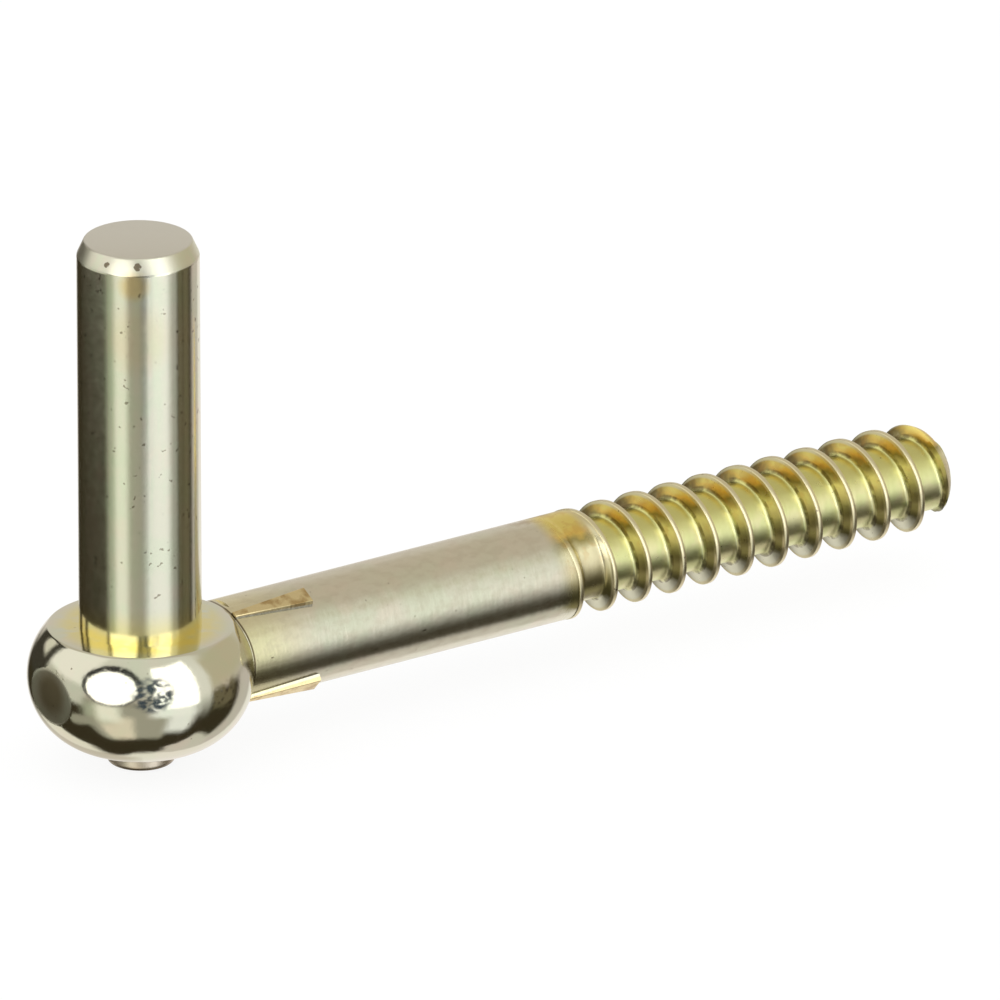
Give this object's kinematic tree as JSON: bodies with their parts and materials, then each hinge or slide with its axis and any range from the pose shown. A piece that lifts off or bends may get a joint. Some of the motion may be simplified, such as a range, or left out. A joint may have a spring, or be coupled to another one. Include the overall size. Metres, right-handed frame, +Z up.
{
  "type": "screw-in hinge pin",
  "caption": "Upright round pin riveted into the forged ball head of a coarse wood screw, to carry the eye of a gate or shutter hinge.",
  "frame": {"origin": "on the hinge pin's axis at the face of the head, where the hinge eye bears", "axes": "+Z up the hinge pin, +X along the screw shank from the head towards its tip"},
  "size_m": [0.1401, 0.0296, 0.0725],
  "materials": {
    "plated_forging": "forged and rolled steel, zinc plated and yellow passivated, glossy",
    "plated_pin": "turned steel, zinc plated and yellow passivated, glossy"
  },
  "bodies": {
    "root": {"screw_shank": "plated_forging", "hinge_pin": "plated_pin"}
  },
  "joints": []
}
